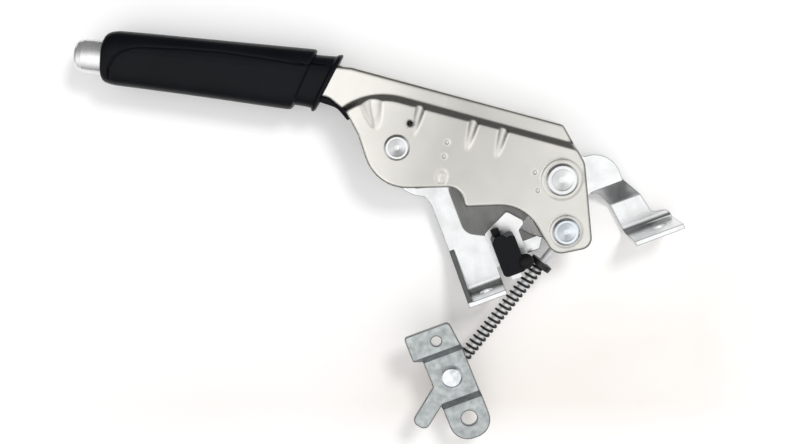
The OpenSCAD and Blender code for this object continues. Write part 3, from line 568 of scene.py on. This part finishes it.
def table_material(corners):
    """Pale table with a faint warm drift, clear when it is seen from behind"""
    c = colours()
    pale = bpy.data.materials.new("table_pale")
    tree, shader, out = node_links(pale)
    coords = tree.nodes.new("ShaderNodeTexCoord")
    split = tree.nodes.new("ShaderNodeSeparateXYZ")
    tree.links.new(coords.outputs["Object"], split.inputs["Vector"])
    lower = remap(tree, split.outputs["Z"], WARM_FROM, WARM_FULL, 0.0, 1.0)
    patches = remap(tree, noise(tree, coords, WARM_PATCH), *PATCH_BAND, *WARM_SHARE)
    warm = maths(tree, "MULTIPLY", lower, patches)
    for axis in (CAMERA_RIGHT, CAMERA_UP):
        warm = fade_out(tree, coords, warm, axis, corners)
    shade = mix_colour(tree, warm, c.floor, c.floor_warm)
    tree.links.new(shade, shader.inputs["Base Color"])
    tree.links.new(shade, shader.inputs["Emission Color"])
    shader.inputs["Roughness"].default_value = TABLE_ROUGH

    # The glow is only seen, straight or in a mirror, and lights nothing that is matt
    path = tree.nodes.new("ShaderNodeLightPath")
    seen = maths(tree, "MAXIMUM", path.outputs["Is Camera Ray"], path.outputs["Is Glossy Ray"])
    seen = maths(tree, "MAXIMUM", seen, path.outputs["Is Transmission Ray"])
    tree.links.new(maths(tree, "MULTIPLY", seen, TABLE_GLOW), shader.inputs["Emission Strength"])

    clear = tree.nodes.new("ShaderNodeBsdfTransparent")
    geometry = tree.nodes.new("ShaderNodeNewGeometry")
    choice = tree.nodes.new("ShaderNodeMixShader")
    tree.links.new(geometry.outputs["Backfacing"], choice.inputs["Fac"])
    tree.links.new(shader.outputs["BSDF"], choice.inputs[1])
    tree.links.new(clear.outputs["BSDF"], choice.inputs[2])
    tree.links.new(choice.outputs["Shader"], out.inputs["Surface"])
    return pale


def key_lamp(scene):
    """Soft lamp over the camera's shoulder, which doesn't show in the bright metal"""
    data = bpy.data.lights.new("key", "AREA")
    data.shape = "DISK"
    data.size = KEY_SIZE
    data.energy = KEY_POWER
    lamp = bpy.data.objects.new("key", data)
    scene.collection.objects.link(lamp)
    way = CAMERA_UP * KEY_RAISE + CAMERA_RIGHT * KEY_ASIDE - CAMERA_AHEAD * KEY_BACK
    lamp.location = CAMERA_TARGET + way
    lamp.rotation_mode = "QUATERNION"
    lamp.rotation_quaternion = (-way).to_track_quat("-Z", "Y")
    lamp.visible_glossy = False


def studio_world():
    """Surroundings that are brightest in front, dim above, and banded so that the bends read"""
    world = bpy.data.worlds.new("studio")
    world.use_nodes = True
    tree = world.node_tree
    tree.nodes.clear()
    coords = tree.nodes.new("ShaderNodeTexCoord").outputs["Generated"]
    split = tree.nodes.new("ShaderNodeSeparateXYZ")
    tree.links.new(coords, split.inputs["Vector"])
    front = remap(tree, split.outputs["Y"], *SKY_FRONT)
    above = remap(tree, split.outputs["Z"], *SKY_ABOVE)
    lean = dot_product(tree, coords, SKY_LEAN_AXIS)
    side = maths(tree, "MAXIMUM", remap(tree, lean, *SKY_LEAN_UP), remap(tree, lean, *SKY_LEAN_DOWN))
    side = maths(tree, "MAXIMUM", side, remap(tree, split.outputs["Z"], *SKY_BELOW))
    level = maths(tree, "MULTIPLY_ADD", maths(tree, "MULTIPLY", front, above), side, SKY_LEVEL)
    ends = remap(tree, maths(tree, "ABSOLUTE", split.outputs["X"]), *SKY_ENDS)
    sky = tree.nodes.new("ShaderNodeBackground")
    tree.links.new(maths(tree, "MULTIPLY_ADD", ends, above, level), sky.inputs["Strength"])

    # The camera itself sees plain white past the table
    white = tree.nodes.new("ShaderNodeBackground")
    white.inputs["Color"].default_value = (1, 1, 1, 1)
    path = tree.nodes.new("ShaderNodeLightPath")
    choice = tree.nodes.new("ShaderNodeMixShader")
    out = tree.nodes.new("ShaderNodeOutputWorld")
    tree.links.new(path.outputs["Is Camera Ray"], choice.inputs["Fac"])
    tree.links.new(sky.outputs["Background"], choice.inputs[1])
    tree.links.new(white.outputs["Background"], choice.inputs[2])
    tree.links.new(choice.outputs["Shader"], out.inputs["Surface"])
    return world


class BRAKE_OT_stage(bpy.types.Operator):
    """Table, lamp, surroundings and camera"""
    bl_idname = "brake.stage"
    bl_label = "Stage"

    def execute(self, context):
        scene = context.scene
        table_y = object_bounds()[1].y + TABLE_GAP
        corners = table_corners(place_camera(scene), table_y)
        table = new_mesh("table", corners, [(0, 1, 2, 3)], table_material(corners), smooth=False)
        table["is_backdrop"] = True
        key_lamp(scene)
        scene.world = studio_world()
        scene.view_settings.view_transform = "Standard"
        return {"FINISHED"}


OPERATORS = (BRAKE_OT_lever, BRAKE_OT_bracket, BRAKE_OT_pins, BRAKE_OT_grip, BRAKE_OT_button, BRAKE_OT_rod,
             BRAKE_OT_equalizer, BRAKE_OT_switch, BRAKE_OT_stage)


class BRAKE_PT_panel(bpy.types.Panel):
    """Brake lever tools"""
    bl_label = "Brake lever"
    bl_idname = "BRAKE_PT_panel"
    bl_space_type = "VIEW_3D"
    bl_region_type = "UI"
    bl_category = "Brake lever"

    def draw(self, context):
        for operator in OPERATORS:
            self.layout.operator(operator.bl_idname)


CLASSES = (BrakeSizes, BrakeColours, BrakeMarks, *OPERATORS, BRAKE_PT_panel)


def register():
    for cls in CLASSES:
        bpy.utils.register_class(cls)
    bpy.types.Scene.brake_sizes = PointerProperty(type=BrakeSizes)
    bpy.types.Scene.brake_colours = PointerProperty(type=BrakeColours)
    bpy.types.Scene.brake_marks = PointerProperty(type=BrakeMarks)


def unregister():
    del bpy.types.Scene.brake_marks
    del bpy.types.Scene.brake_colours
    del bpy.types.Scene.brake_sizes
    for cls in reversed(CLASSES):
        bpy.utils.unregister_class(cls)


def main():
    register()
    bpy.ops.brake.lever()
    bpy.ops.brake.bracket()
    bpy.ops.brake.pins()
    bpy.ops.brake.grip()
    bpy.ops.brake.button()
    bpy.ops.brake.rod()
    bpy.ops.brake.equalizer()
    bpy.ops.brake.switch()
    bpy.ops.brake.stage()


if __name__ == "__main__":
    main()
